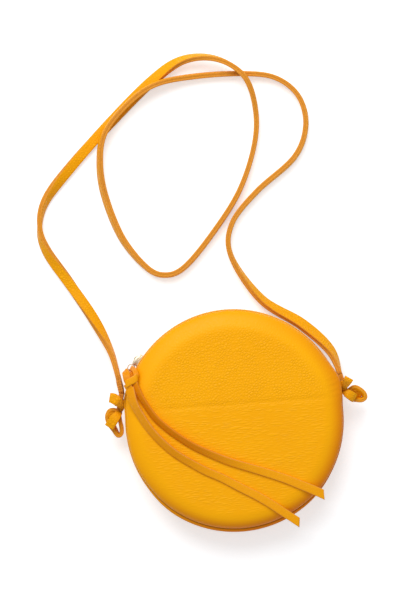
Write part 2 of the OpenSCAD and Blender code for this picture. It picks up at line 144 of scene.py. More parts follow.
def makeFloor():
    material = bpy.data.materials.new("paleFloor")
    material.use_nodes = True
    tree = material.node_tree
    tree.nodes.clear()
    diffuse = addNode(tree, "BsdfDiffuse", {"Color": studio["floorColor"]})
    glow = addNode(tree, "Emission", {"Color": (1, 1, 1, 1), "Strength": studio["floorLift"]})
    path = addNode(tree, "LightPath")
    seen = calc(tree, "MAXIMUM", path.outputs["Is Camera Ray"], path.outputs["Is Glossy Ray"])
    nothing = addNode(tree, "Emission", {"Strength": 0.0})
    lift = addNode(tree, "MixShader", {0: seen, 1: nothing.outputs[0], 2: glow.outputs[0]})
    lit = addNode(tree, "AddShader", {0: diffuse.outputs[0], 1: lift.outputs[0]})
    clear = addNode(tree, "BsdfTransparent")
    under = addNode(tree, "NewGeometry").outputs["Backfacing"]
    both = addNode(tree, "MixShader", {0: under, 1: lit.outputs[0], 2: clear.outputs[0]})
    addNode(tree, "OutputMaterial", {"Surface": both.outputs[0]})
    bm = bmesh.new()
    bmesh.ops.create_grid(bm, x_segments=1, y_segments=1, size=studio["floorHalf"] * mm)
    bmesh.ops.translate(bm, vec=(0, 0, studio["floorZ"] * mm), verts=bm.verts)
    mesh = bpy.data.meshes.new("paleFloor")
    bm.to_mesh(mesh)
    bm.free()
    mesh.materials.append(material)
    floor = bpy.data.objects.new("paleFloor", mesh)
    bpy.context.collection.objects.link(floor)


makeCamera()
makeLight()
makeFloor()
print("camera, light and floor made")


# Shader groups that several finishes share

def newGroup(name, inputs, outputs):
    group = bpy.data.node_groups.new(name, "ShaderNodeTree")
    for label, kind, value in inputs:
        socket = group.interface.new_socket(label, in_out="INPUT", socket_type="NodeSocket" + kind)
        if value is not None:
            socket.default_value = value
    for label, kind in outputs:
        group.interface.new_socket(label, in_out="OUTPUT", socket_type="NodeSocket" + kind)
    return group, group.nodes.new("NodeGroupInput").outputs, group.nodes.new("NodeGroupOutput").inputs


def placeGroup(tree, group, values):
    made = tree.nodes.new("ShaderNodeGroup")
    made.node_tree = group
    for key, value in values.items():
        if isinstance(value, bpy.types.NodeSocket):
            tree.links.new(value, made.inputs[key])
        else:
            made.inputs[key].default_value = value
    return made.outputs


def makePebbleGroup():
    # Round cells of leather grain with pores between them; Place is in millimetres
    inputs = [("Place", "Vector", None), ("Size", "Float", 1.0)]
    group, given, result = newGroup("leatherPebbles", inputs, [("Height", "Float"), ("Tone", "Float")])
    wobble = addNode(group, "TexNoise", {"Vector": given["Place"], "Scale": 0.35, "Detail": 2.0})
    shift = addNode(group, "VectorMath", {0: wobble.outputs["Color"], 3: 1.2}, operation="SCALE")
    moved = addNode(group, "VectorMath", {0: given["Place"], 1: shift.outputs[0]}, operation="ADD")
    scale = calc(group, "DIVIDE", 1.0, given["Size"])
    cells = addNode(group, "TexVoronoi", {"Vector": moved.outputs[0], "Scale": scale, "Randomness": 0.9},
                    feature="DISTANCE_TO_EDGE")
    dome = ramp(group, cells.outputs["Distance"], 0.0, 0.32)
    patches = addNode(group, "TexNoise", {"Vector": given["Place"], "Scale": 0.11, "Detail": 2.0})
    depth = ramp(group, patches.outputs["Fac"], 0.3, 0.7, 0.55, 1.0)
    fine = addNode(group, "TexNoise", {"Vector": given["Place"], "Scale": 2.6, "Detail": 3.0})
    raised = calc(group, "MULTIPLY", dome, depth)
    rough = calc(group, "MULTIPLY", fine.outputs["Fac"], 0.25)
    group.links.new(calc(group, "ADD", raised, rough), result["Height"])
    group.links.new(raised, result["Tone"])
    return group


def makeDriftGroup():
    # Slow change of tone over a hide, and small flecks; Place is in millimetres
    outputs = [("Slow", "Float"), ("Fleck", "Float")]
    group, given, result = newGroup("toneDrift", [("Place", "Vector", None)], outputs)
    slow = addNode(group, "TexNoise", {"Vector": given["Place"], "Scale": 0.022, "Detail": 3.0})
    fleck = addNode(group, "TexNoise", {"Vector": given["Place"], "Scale": 0.6, "Detail": 4.0})
    group.links.new(ramp(group, slow.outputs["Fac"], 0.3, 0.7), result["Slow"])
    group.links.new(ramp(group, fleck.outputs["Fac"], 0.35, 0.65), result["Fleck"])
    return group


def makeWeaveGroup():
    # Plain weave; Place is in millimetres, Pitch is the distance from thread to thread
    inputs = [("Place", "Vector", None), ("Pitch", "Float", 0.5)]
    group, given, result = newGroup("plainWeave", inputs, [("Height", "Float"), ("Warp", "Float")])
    turn = calc(group, "DIVIDE", math.pi, given["Pitch"])
    place = addNode(group, "SeparateXYZ", {0: given["Place"]}).outputs
    across = calc(group, "MULTIPLY", place["X"], turn)
    along = calc(group, "MULTIPLY", place["Y"], turn)
    warp = calc(group, "ABSOLUTE", calc(group, "SINE", across))
    weft = calc(group, "ABSOLUTE", calc(group, "SINE", along))
    crossing = calc(group, "MULTIPLY", calc(group, "COSINE", across), calc(group, "COSINE", along))
    over = ramp(group, crossing, -0.15, 0.15)
    low = calc(group, "MULTIPLY", weft, calc(group, "SUBTRACT", 1.0, over))
    height = calc(group, "ADD", calc(group, "MULTIPLY", warp, over), low)
    group.links.new(height, result["Height"])
    group.links.new(over, result["Warp"])
    return group


pebbles = makePebbleGroup()
toneDrift = makeDriftGroup()
plainWeave = makeWeaveGroup()


# Finishes

def newMaterial(name):
    material = bpy.data.materials.new(name)
    material.use_nodes = True
    tree = material.node_tree
    return material, tree, tree.nodes["Principled BSDF"].inputs


def objectPlace(tree):
    # Object coordinates in millimetres
    source = addNode(tree, "TexCoord").outputs["Object"]
    return addNode(tree, "VectorMath", {0: source, 3: 1 / mm}, operation="SCALE").outputs[0]


def piecePlace(tree, name):
    return addNode(tree, "Attribute", attribute_name=name).outputs["Vector"]


def setBump(tree, shader, height, distance, strength=1.0):
    values = {"Strength": strength, "Distance": distance * mm, "Height": height}
    tree.links.new(addNode(tree, "Bump", values).outputs[0], shader["Normal"])


# rim is the colour of painted shade on the rolled rim; seam is a dark seam line with painted shade beside it
panelLook = {
    "color": (1.0, 0.45, 0.0, 1), "deep": (0.86, 0.31, 0.0, 1), "seam": (0.40, 0.13, 0.004, 1),
    "rim": (0.76, 0.19, 0.0, 1), "rimShadeShare": 0.85, "valley": 0.2, "slow": 0.12, "wrinkleHeight": 0.7,
    "creaseY": (9, 15), "smoothRim": (70, 82), "grain": 2.3, "wrinkle": 1.85, "wrinkleLong": 0.22,
    "grainHeight": 0.26, "roughness": 0.42, "specular": 0.12,
}


def makePanelLeather():
    look = panelLook
    material, tree, shader = newMaterial("panelLeather")
    place = objectPlace(tree)
    parts = addNode(tree, "SeparateXYZ", {0: place}).outputs
    flat = addNode(tree, "CombineXYZ", {"X": parts["X"], "Y": parts["Y"]}).outputs[0]
    distance = addNode(tree, "VectorMath", {0: flat}, operation="LENGTH").outputs["Value"]
    drift = placeGroup(tree, toneDrift, {"Place": place})
    edge = calc(tree, "ADD", parts["Y"], calc(tree, "MULTIPLY", drift["Fleck"], 6.0))
    upper = ramp(tree, edge, look["creaseY"][0] + 3, look["creaseY"][1] + 5)
    rounded = placeGroup(tree, pebbles, {"Place": place, "Size": look["grain"]})
    along = (look["wrinkleLong"], 1.0, 1.0)
    drawn = addNode(tree, "VectorMath", {0: place, 1: along}, operation="MULTIPLY").outputs[0]
    wrinkled = placeGroup(tree, pebbles, {"Place": drawn, "Size": look["wrinkle"]})
    rim = ramp(tree, distance, look["smoothRim"][0], look["smoothRim"][1], 1.0, 0.28)

    def pick(label, share=1.0):
        fromUpper = calc(tree, "MULTIPLY", rounded[label], upper)
        lower = calc(tree, "MULTIPLY", calc(tree, "SUBTRACT", 1.0, upper), share)
        return calc(tree, "ADD", fromUpper, calc(tree, "MULTIPLY", wrinkled[label], lower))

    height = calc(tree, "MULTIPLY", pick("Height", look["wrinkleHeight"]), rim)
    setBump(tree, shader, height, look["grainHeight"])
    between = calc(tree, "SUBTRACT", 1.0, pick("Tone"))
    valley = calc(tree, "MULTIPLY", between, calc(tree, "MULTIPLY", rim, look["valley"]))
    shadeOf = calc(tree, "ADD", valley, calc(tree, "MULTIPLY", drift["Slow"], look["slow"]), clamp=True)
    color = mixColor(tree, shadeOf, look["color"], look["deep"])
    # Painted shade on the rolled rim, deepest at the lower right
    rimShadeAmount = addNode(tree, "Attribute", attribute_name="paintedRimShade").outputs["Fac"]
    color = mixColor(tree, calc(tree, "MULTIPLY", rimShadeAmount, look["rimShadeShare"]), color, look["rim"])
    # Dark seam line with painted shade beside it, and painted shade on the left wall by the tab
    seam = addNode(tree, "Attribute", attribute_name="seamLineAndShade").outputs["Fac"]
    color = mixColor(tree, ramp(tree, seam, 0.25, 0.9), color, look["seam"])
    tree.links.new(color, shader["Base Color"])
    rough = ramp(tree, drift["Fleck"], 0, 1, look["roughness"] - 0.05, look["roughness"] + 0.06)
    tree.links.new(rough, shader["Roughness"])
    shader["Specular IOR Level"].default_value = look["specular"]
    return material


# Each look's last colour is painted shade, for bands inside loops and turned away from the lamp
strapLook = {
    "color": (1.0, 0.45, 0.0, 1), "deep": (0.82, 0.30, 0.0, 1),
    # edgeDeep also paints shade in the pleat valleys
    "edge": (0.90, 0.38, 0.05, 1), "edgeDeep": (0.58, 0.20, 0.02, 1), "edgeWidth": 0.5,
    "seamHalf": 0.28, "grain": 2.0, "grainHeight": 0.3, "roughness": 0.46, "specular": 0.12,
    "pleat": 1.5, "pleatDepth": 1.6, "toneShare": 0.6, "paintedBandShade": (0.70, 0.20, 0.0, 1),
}
laceLook = {
    "color": (1.0, 0.44, 0.002, 1), "deep": (0.80, 0.27, 0.001, 1),
    "edge": (0.98, 0.46, 0.10, 1), "edgeDeep": (0.66, 0.24, 0.03, 1), "edgeWidth": 0.35,
    "seamHalf": 0.0, "grain": 1.2, "grainHeight": 0.12, "roughness": 0.4, "specular": 0.14,
    "pleat": 1.5, "pleatDepth": 1.0, "toneShare": 0.45, "paintedBandShade": (0.70, 0.20, 0.0, 1),
}


def makeBandLeather(name, look, halfWidth):
    # Leather cut in a band: its grain follows it, its sides are raw, and it pleats where it is squeezed, with
    # painted shade in the pleat valleys
    material, tree, shader = newMaterial(name)
    place = piecePlace(tree, "bandPlace")
    parts = addNode(tree, "SeparateXYZ", {0: place}).outputs
    drift = placeGroup(tree, toneDrift, {"Place": place})
    grain = placeGroup(tree, pebbles, {"Place": place, "Size": look["grain"]})
    off = calc(tree, "ABSOLUTE", parts["Y"])
    raw = ramp(tree, off, halfWidth - look["edgeWidth"], halfWidth - look["edgeWidth"] * 0.4)
    fibre = addNode(tree, "VectorMath", {0: place, 1: (0.7, 3.0, 5.0)}, operation="MULTIPLY").outputs[0]
    fibres = addNode(tree, "TexNoise", {"Vector": fibre, "Scale": 1.0, "Detail": 3.0}).outputs["Fac"]
    between = calc(tree, "SUBTRACT", 1.0, grain["Tone"])
    face = mixColor(tree, calc(tree, "MULTIPLY", between, look["toneShare"]), look["color"], look["deep"])
    side = mixColor(tree, ramp(tree, fibres, 0.3, 0.7), look["edge"], look["edgeDeep"])
    if look["seamHalf"] > 0:
        middle = calc(tree, "ABSOLUTE", parts["Z"])
        joint = ramp(tree, middle, look["seamHalf"], look["seamHalf"] * 0.3, 0.0, 0.8)
        side = mixColor(tree, joint, side, look["edgeDeep"])
    color = mixColor(tree, raw, face, side)
    color = mixColor(tree, calc(tree, "MULTIPLY", drift["Slow"], 0.18), color, look["deep"])
    squeeze = addNode(tree, "Attribute", attribute_name="squeeze").outputs["Fac"]
    slanted = calc(tree, "ADD", parts["Y"], calc(tree, "MULTIPLY", parts["X"], 0.7))
    wave = calc(tree, "ADD", calc(tree, "MULTIPLY", slanted, 2 * math.pi / look["pleat"]),
                calc(tree, "MULTIPLY", drift["Fleck"], 1.5))
    ridge = ramp(tree, calc(tree, "SINE", wave), -1, 1)
    pleats = calc(tree, "MULTIPLY", ramp(tree, squeeze, 0.05, 0.6), calc(tree, "SUBTRACT", 1.0, ridge))
    # Painted shade in the pleat valleys, over their bump
    color = mixColor(tree, calc(tree, "MULTIPLY", pleats, 0.8), color, look["edgeDeep"])
    # Painted shade on bands inside loops, under the wrap and turned away from the lamp
    paintedBandShade = addNode(tree, "Attribute", attribute_name="paintedBandShade").outputs["Fac"]
    color = mixColor(tree, paintedBandShade, color, look["paintedBandShade"])
    tree.links.new(color, shader["Base Color"])
    sideHeight = calc(tree, "MULTIPLY", fibres, raw)
    faceHeight = calc(tree, "MULTIPLY", grain["Height"], calc(tree, "SUBTRACT", 1.0, raw))
    height = calc(tree, "SUBTRACT", calc(tree, "ADD", faceHeight, sideHeight),
                  calc(tree, "MULTIPLY", pleats, look["pleatDepth"]))
    setBump(tree, shader, height, look["grainHeight"])
    rough = ramp(tree, raw, 0, 1, look["roughness"], look["roughness"] + 0.25)
    tree.links.new(rough, shader["Roughness"])
    shader["Specular IOR Level"].default_value = look["specular"]
    return material


clothLook = {
    "lining": {"warp": (0.60, 0.50, 0.36, 1), "weft": (0.50, 0.40, 0.27, 1), "pitch": 0.55},
    "tape": {"warp": (0.46, 0.25, 0.03, 1), "weft": (0.36, 0.18, 0.02, 1), "pitch": 0.5},
    "height": 0.12, "roughness": 0.85, "sheen": 0.25,
}


def makeCloth(name, look, attribute=None):
    material, tree, shader = newMaterial(name)
    place = piecePlace(tree, attribute) if attribute else objectPlace(tree)
    weave = placeGroup(tree, plainWeave, {"Place": place, "Pitch": look["pitch"]})
    drift = placeGroup(tree, toneDrift, {"Place": place})
    color = mixColor(tree, weave["Warp"], look["weft"], look["warp"])
    # Painted shade in the gaps between threads
    gap = calc(tree, "MULTIPLY", calc(tree, "SUBTRACT", 1.0, weave["Height"]), 0.5)
    color = mixColor(tree, gap, color, (0.05, 0.035, 0.02, 1))
    color = mixColor(tree, calc(tree, "MULTIPLY", drift["Slow"], 0.15), color, look["weft"])
    tree.links.new(color, shader["Base Color"])
    setBump(tree, shader, weave["Height"], clothLook["height"])
    shader["Roughness"].default_value = clothLook["roughness"]
    shader["Sheen Weight"].default_value = clothLook["sheen"]
    return material


fillLook = {
    "padding": {"color": (0.86, 0.84, 0.79, 1), "deep": (0.66, 0.63, 0.57, 1),
                "scale": 1.4, "height": 0.4},
    "board": {"color": (0.55, 0.42, 0.28, 1), "deep": (0.38, 0.27, 0.16, 1),
              "scale": 2.2, "height": 0.08},
    "roughness": 0.9,
}


def makeFill(name, look):
    # Matted fibres of wadding, or of a fibre board
    material, tree, shader = newMaterial(name)
    place = objectPlace(tree)
    fibres = addNode(tree, "TexNoise", {"Vector": place, "Scale": look["scale"], "Detail": 6.0,
                                        "Roughness": 0.7, "Distortion": 1.5}).outputs["Fac"]
    color = mixColor(tree, ramp(tree, fibres, 0.35, 0.65), look["deep"], look["color"])
    tree.links.new(color, shader["Base Color"])
    setBump(tree, shader, fibres, look["height"])
    shader["Roughness"].default_value = fillLook["roughness"]
    return material


metalLook = {
    "zip": {"color": (0.72, 0.56, 0.32, 1), "worn": (0.88, 0.76, 0.54, 1), "rough": 0.3},
    "slider": {"color": (0.72, 0.60, 0.42, 1), "worn": (0.86, 0.76, 0.60, 1), "rough": 0.3},
    "height": 0.02,
}


def makeMetal(name, look):
    # Plated metal with fine rubbing marks and a duller film in patches
    material, tree, shader = newMaterial(name)
    place = objectPlace(tree)
    drawn = addNode(tree, "VectorMath", {0: place, 1: (6.0, 6.0, 0.8)}, operation="MULTIPLY").outputs[0]
    marks = addNode(tree, "TexNoise", {"Vector": drawn, "Scale": 1.6, "Detail": 5.0}).outputs["Fac"]
    film = addNode(tree, "TexNoise", {"Vector": place, "Scale": 0.7, "Detail": 3.0}).outputs["Fac"]
    color = mixColor(tree, ramp(tree, film, 0.35, 0.65), look["color"], look["worn"])
    tree.links.new(color, shader["Base Color"])
    rough = calc(tree, "ADD", ramp(tree, marks, 0.3, 0.7, look["rough"] - 0.08, look["rough"] + 0.12),
                 calc(tree, "MULTIPLY", film, 0.08))
    tree.links.new(rough, shader["Roughness"])
    shader["Metallic"].default_value = 1.0
    setBump(tree, shader, marks, metalLook["height"])
    return material


threadLook = {"color": (0.80, 0.42, 0.06, 1), "deep": (0.48, 0.21, 0.03, 1), "roughness": 0.6}


def makeThread():
    material, tree, shader = newMaterial("sewingThread")
    place = objectPlace(tree)
    twist = addNode(tree, "TexWave", {"Vector": place, "Scale": 2.2, "Distortion": 1.0},
                    bands_direction="DIAGONAL").outputs["Fac"]
    tree.links.new(mixColor(tree, twist, threadLook["deep"], threadLook["color"]), shader["Base Color"])
    setBump(tree, shader, twist, 0.05)
    shader["Roughness"].default_value = threadLook["roughness"]
    return material


strapSize = {"width": 8.6, "thick": 4.2, "steps": 12, "wideEnd": 1.15}
laceSize = {"width": 6.2, "thick": 1.8, "steps": 8, "flareOver": 5, "beginOver": 6}
panelLeather = makePanelLeather()
strapLeather = makeBandLeather("strapLeather", strapLook, strapSize["width"] / 2)
laceLeather = makeBandLeather("laceLeather", laceLook, laceSize["width"] / 2)
tabLeather = makeBandLeather("tabLeather", strapLook | {"seamHalf": 0}, 3)
liningCloth = makeCloth("liningCloth", clothLook["lining"])
wallCloth = makeCloth("wallCloth", clothLook["lining"], "wallPlace")
tapeCloth = makeCloth("tapeCloth", clothLook["tape"], "wallPlace")
paddingFelt = makeFill("paddingFelt", fillLook["padding"])
fibreBoard = makeFill("fibreBoard", fillLook["board"])
zipMetal = makeMetal("zipMetal", metalLook["zip"])
sliderMetal = makeMetal("sliderMetal", metalLook["slider"])
sewingThread = makeThread()
print("finishes made")


# Helpers for pieces

def finishPiece(name, bm, material, body, replaced=(), smooth=True):
    bmesh.ops.scale(bm, vec=(mm, mm, mm), verts=bm.verts)
    mesh = bpy.data.meshes.new(name)
    bm.to_mesh(mesh)
    bm.free()
    mesh.materials.append(material)
    if smooth:
        mesh.shade_smooth()
    piece = bpy.data.objects.new(name, mesh)
    bpy.context.collection.objects.link(piece)
    if body:
        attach(piece, body)
    if replaced:
        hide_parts(*replaced)
    return piece


def smoothPoint(a, b, c, d, t):
    point = []
    for p, q, r, s in zip(a, b, c, d):
        bend = (2 * p - 5 * q + 4 * r - s) * t * t + (3 * q - p - 3 * r + s) * t ** 3
        point.append(0.5 * (2 * q + (r - p) * t + bend))
    return point


def smoothRoute(points, steps):
    last = len(points) - 1
    route = []
    for i in range(last):
        near = [points[max(i - 1, 0)], points[i], points[i + 1], points[min(i + 2, last)]]
        route += [smoothPoint(*near, k / steps) for k in range(steps)]
    return route + [points[last]]


def routeFrames(points, steps, ends=(None, None), up=(0, 0, 1)):
    # A frame for each ring: X ahead, Y across and Z through the band; a fifth value is a share of its width
    route = smoothRoute(points, steps)
    frames = []
    for i, point in enumerate(route):
        before, after = route[max(i - 1, 0)], route[min(i + 1, len(route) - 1)]
        ahead = Vector(after[:3]) - Vector(before[:3])
        if i == 0 and ends[0]:
            ahead = Vector(ends[0])
        if i == len(route) - 1 and ends[1]:
            ahead = Vector(ends[1])
        ahead.normalize()
        left = Vector(up).cross(ahead).normalized()
        over = ahead.cross(left)
        roll = math.radians(point[3])
        across = left * math.cos(roll) + over * math.sin(roll)
        through = over * math.cos(roll) - left * math.sin(roll)
        share = point[4] if len(point) > 4 else 1.0
        matrix = Matrix((ahead, across * share, through)).transposed().to_4x4()
        matrix.translation = Vector(point[:3])
        frames.append(matrix)
    return frames


def bandSection(width, thick, corner=0.45, crown=0.2, groove=0.0):
    # Section of a band, counter-clockwise, with rounded corners and a groove along its narrow sides
    half, deep = width / 2, thick / 2
    quarter = [(half - groove, 0.0)] if groove else []
    if groove:
        quarter.append((half, groove * 1.2))
    quarter += [(half, deep - corner), (half - corner * 0.3, deep - corner * 0.3)]
    quarter += [(half - corner, deep), (half * 0.5, deep + crown * 0.75), (0.0, deep + crown)]
    mirrored = [(-u, v) for u, v in reversed(quarter[:-1])]
    top = quarter + mirrored
    under = [(-u, -v) for u, v in top]
    if groove:
        return top[:-1] + under[:-1]
    return top + under


def sweepBand(frames, section, slant=0.0, closed=False):
    # Extrudes the section from frame to frame; bandPlace keeps the place along, across and through the band
    bm = bmesh.new()
    layer = bm.verts.layers.float_vector.new("bandPlace")
    squeeze = bm.verts.layers.float.new("squeeze")
    ring = []
    for u, v in section:
        vert = bm.verts.new(frames[0] @ Vector((0, u, v)))
        vert[layer] = (0, u, v)
        vert[squeeze] = 1 - frames[0].col[1].length
        ring.append(vert)
    edges = [bm.edges.new((ring[i - 1], ring[i])) for i in range(len(ring))]
    along = 0.0
    for before, after in zip(frames, frames[1:]):
        made = bmesh.ops.extrude_edge_only(bm, edges=edges)["geom"]
        verts = [part for part in made if isinstance(part, bmesh.types.BMVert)]
        edges = [part for part in made if isinstance(part, bmesh.types.BMEdge)]
        bmesh.ops.transform(bm, matrix=after @ before.inverted(), verts=verts)
        along += (after.translation - before.translation).length
        for vert in verts:
            vert[layer] = (along, vert[layer].y, vert[layer].z)
            vert[squeeze] = 1 - after.col[1].length
    if slant:
        ahead = frames[-1].col[0].to_3d()
        for vert in bm.verts:
            near = max(0.0, 1 - (along - vert[layer].x) / (3 * abs(slant) * section[0][0]))
            vert.co += ahead * (vert[layer].y * slant * near)
    openEdges = [edge for edge in bm.edges if edge.is_boundary]
    if closed:
        bmesh.ops.remove_doubles(bm, verts=bm.verts, dist=0.01)
    else:
        bmesh.ops.holes_fill(bm, edges=openEdges, sides=0)
    bmesh.ops.recalc_face_normals(bm, faces=bm.faces)
    return bm


def loopFrames(middle, axis, side, halfSide, halfUp, power=3.0, count=48, skew=0.0):
    # Frames round a closed loop about an axis, for a band that goes round something
    up = axis.cross(side).normalized()
    points = []
    for i in range(count + 1):
        turn = 2 * math.pi * i / count
        c, s = math.cos(turn), math.sin(turn)
        x = halfSide * math.copysign(abs(c) ** (2 / power), c)
        y = halfUp * math.copysign(abs(s) ** (2 / power), s)
        points.append(middle + side * x + up * y + axis * (skew * c))
    frames = []
    for i, point in enumerate(points):
        ahead = (points[(i + 1) % count] - points[(i - 1) % count]).normalized()
        through = ahead.cross(axis).normalized()
        matrix = Matrix((ahead, axis, through)).transposed().to_4x4()
        matrix.translation = point
        frames.append(matrix)
    return frames


def joinBands(*bands):
    # Puts several swept bands into one piece
    whole = bands[0]
    for band in bands[1:]:
        part = bpy.data.meshes.new("part")
        band.to_mesh(part)
        band.free()
        whole.from_mesh(part)
        bpy.data.meshes.remove(part)
    return whole


def frameLength(frames):
    return sum((b.translation - a.translation).length for a, b in zip(frames, frames[1:]))


# Shoulder strap, its knots, and the lace with its two tails

gussetLow, gussetHigh = boxInMm("lower_gusset")
panelLow, panelHigh = boxInMm("front_panel_lower")
bag = {
    "radius": gussetHigh[0], "depth": panelHigh[2], "leather": 1.6, "seamIn": 3.2,
    "rollWidth": 14.3, "rimDepth": 9, "rollPower": 1.9, "tabAngle": 76.5,
}
midZ = bag["depth"] / 2
tabTurn = math.radians(bag["tabAngle"])
strapR = bag["radius"] + 0.35 + strapSize["thick"] / 2 + 1
leftDir = Vector((math.cos(tabTurn), math.sin(tabTurn), 0))
rightDir = Vector((math.cos(tabTurn), -math.sin(tabTurn), 0))
stubHalf = 8
leftStart = Vector((-strapR * math.sin(tabTurn), strapR * math.cos(tabTurn), midZ)) + leftDir * stubHalf
rightStart = Vector((strapR * math.sin(tabTurn), strapR * math.cos(tabTurn), midZ)) - rightDir * stubHalf

# x, y, z and roll of the strap from the left tab round both loops to the right tab
strapRoute = [
    [-91.8, 37, 18.4, 84], [-93, 44, 14, 90], [-98, 66, 7, 78], [-110, 94, 4.2, 32], [-128, 126, 3, -6],
    [-144, 154, 4.9, -48], [-148, 174, 4.9, -84], [-141, 196, 5, -116], [-118, 222, 4, -158],
    [-82, 256, 2.7, -184], [-44, 288, 3.5, -193], [-16, 303, 8.8, -232], [12, 301, 13.2, -256],
    [34, 284, 13.9, -269], [41, 256, 7, -270], [37, 226, 4.6, -270], [21, 189, 4.7, -268],
    [-5, 155, 4.7, -266], [-30, 130, 4.7, -265], [-47, 125, 4.7, -266], [-62, 133, 4.8, -262],
    [-80, 159, 4.9, -253], [-91, 194, 5, -250], [-93, 222, 8.6, -254], [-87, 247, 10.2, -259],
    [-67, 269, 10.6, -260], [-42, 284, 11.4, -259], [-9, 289, 5.2, -257], [32, 288, 4.7, -260],
    [60, 282, 4.8, -262], [78, 265, 4.8, -263], [82, 240, 4.8, -264], [70, 214, 4.8, -264],
    [36, 188, 4.8, -265], [13, 163, 4.8, -267], [10, 136, 4.8, -265], [32, 98, 5, -235],
    [64, 74, 5.6, -220], [85, 51, 11.5, -234],
]
restZ = bag["depth"] + 0.2 + laceSize["thick"] / 2
# x, y, height above restZ and roll of each tail, from the hitch to its cut end
upperRoute = [
    [-78.4, 37.2, 0.4, 22], [-73, 24, 1.6, 42], [-65, 10, 1.5, 38], [-57, 1, 1.5, 38], [-47, -8, 1.5, 37],
    [-35, -17, 1.4, 34], [-21, -25, 1.2, 28], [-7, -32, 0.9, 20], [8, -38, 0.6, 11], [23, -44, 0.2, 4],
    [37, -50, 0, 0], [49, -56, 0, 0], [59, -61, 0, 0], [68, -66, -0.8, 0],
]
lowerRoute = [
    [-83, 34.4, 0.7, 20], [-80, 21, 1.6, 40], [-74, 8, 1.5, 38], [-68, -2, 1.5, 38], [-60, -12, 1.5, 36],
    [-50, -22, 1.3, 31], [-39, -30, 1, 22], [-27, -38, 0.6, 12], [-14, -45, 0.3, 5], [0, -54, 0, 0],
    [13, -62, 0, 0], [23, -69, 0, 0], [32, -76, 0.1, 0], [46, -87, -0.9, 0],
]
# x, y, z, roll and share of the width along the bands of each knot, outside its tab
leftKnot = {
    "loop": [
        [-94.6, 12.6, 20.5, 90, 1], [-94.2, 7, 20, 87, 1], [-93.6, 1.6, 19.2, 84, 1],
        [-94.2, -3.4, 18.6, 86, 1], [-97, -4.4, 18.4, 84, 1], [-99.6, 0.6, 18.6, 74, 1],
        [-102.2, 6.2, 19.4, 62, 1], [-103, 11.2, 20.2, 54, 1], [-101.2, 15.2, 21, 56, 1],
        [-97.8, 16, 21.6, 70, 1], [-94.9, 15, 22, 84, 0.9],
    ],
    "inner": [
        [-95.6, 13.4, 23, 20, 1], [-98.4, 13.6, 23.6, 10, 1.1], [-101, 11.6, 22.6, 0, 1],
        [-102, 8.4, 20.6, 0, 0.9],
    ],
    "fold": [
        [-93.8, 14.5, 24.5, 0, 0.5], [-95.2, 13, 27.4, 0, 0.75], [-97.8, 10.6, 28.9, 3, 0.95],
        [-100.7, 7, 28.2, 5, 1], [-103.1, 3.6, 26.6, 6, 1],
    ],
    "end": [
        [-92.2, 16.5, 26, 0, 0.35], [-91.2, 18.4, 29.4, 0, 0.4], [-92.2, 21.2, 30.8, 0, 0.75],
        [-95, 24.8, 31.2, 0, 1.05], [-97.8, 26.9, 30.8, 0, 1.05], [-100.4, 27.7, 30.2, 0, 0.98],
    ],
}
rightKnot = {
    "loop": [
        [96, 15.2, 20.8, 82, 0.9], [98.8, 16, 21, 66, 1], [102.2, 16.8, 20.8, 54, 1],
        [106, 14.8, 20.4, 58, 1], [109.2, 12, 20, 72, 1], [109.8, 9, 19.8, 80, 1],
        [107.2, 7.4, 19.6, 82, 1], [103.4, 8, 19.4, 78, 1], [99.4, 9, 19.6, 80, 1], [96.2, 10.8, 20, 86, 0.9],
    ],
    "inner": [
        [97, 12.6, 20, 60, 1], [100.6, 13.4, 19.6, 40, 1.1], [104.4, 12.6, 19, 30, 1.1],
        [107.4, 10.6, 18.6, 30, 1],
    ],
    "fold": [
        [93.4, 16, 24.5, 0, 0.5], [94, 15.2, 27.6, 0, 0.7], [96.2, 13.4, 28.7, -4, 0.9],
        [98.8, 11.4, 27.8, -6, 0.95], [100.6, 9.8, 25.2, -6, 0.95],
    ],
    "end": [
        [92.8, 17, 26, 0, 0.35], [93, 18.6, 29, 0, 0.4], [94.2, 20.8, 30.6, 0, 0.6],
        [95.8, 23.6, 30.8, 0, 0.85], [97.8, 26.6, 30.2, 0, 0.95],
    ],
}
knotBand = {"width": 8, "thick": 3.2, "steps": 6}
hitchTurn = math.radians(25)
hitchWay = Vector((math.sin(hitchTurn), -math.cos(hitchTurn), 0))
hitchMid = Vector((-81.4, 40.3, restZ + 0.3))


def raiseMask(bm, name, amount, fade=None):
    # Raises a mask along a band, fading out between the two lengths of fade
    layer = bm.verts.layers.float.get(name) or bm.verts.layers.float.new(name)
    place = bm.verts.layers.float_vector["bandPlace"]
    for vert in bm.verts:
        share = min(max((fade[1] - vert[place].x) / (fade[1] - fade[0]), 0), 1) if fade else 1
        vert[layer] = max(vert[layer], amount * share)


def makeStrap():
    route = [[*point, 1.0] for point in [[*leftStart, 90], *strapRoute, [*rightStart, -270]]]
    for point in route[-3:-1]:
        point[4] = strapSize["wideEnd"]
    frames = routeFrames(route, strapSize["steps"], (leftDir, rightDir))
    bm = sweepBand(frames, bandSection(strapSize["width"], strapSize["thick"], 0.5, 0.05, 0.3))
    # Pleats near the left tab, bumped, with painted shade in their valleys
    raiseMask(bm, "squeeze", 0.9, (6, 20))
    strap = finishPiece("shoulderStrap", bm, strapLeather, "bag", ["shoulder_strap"])
    return strap, frames


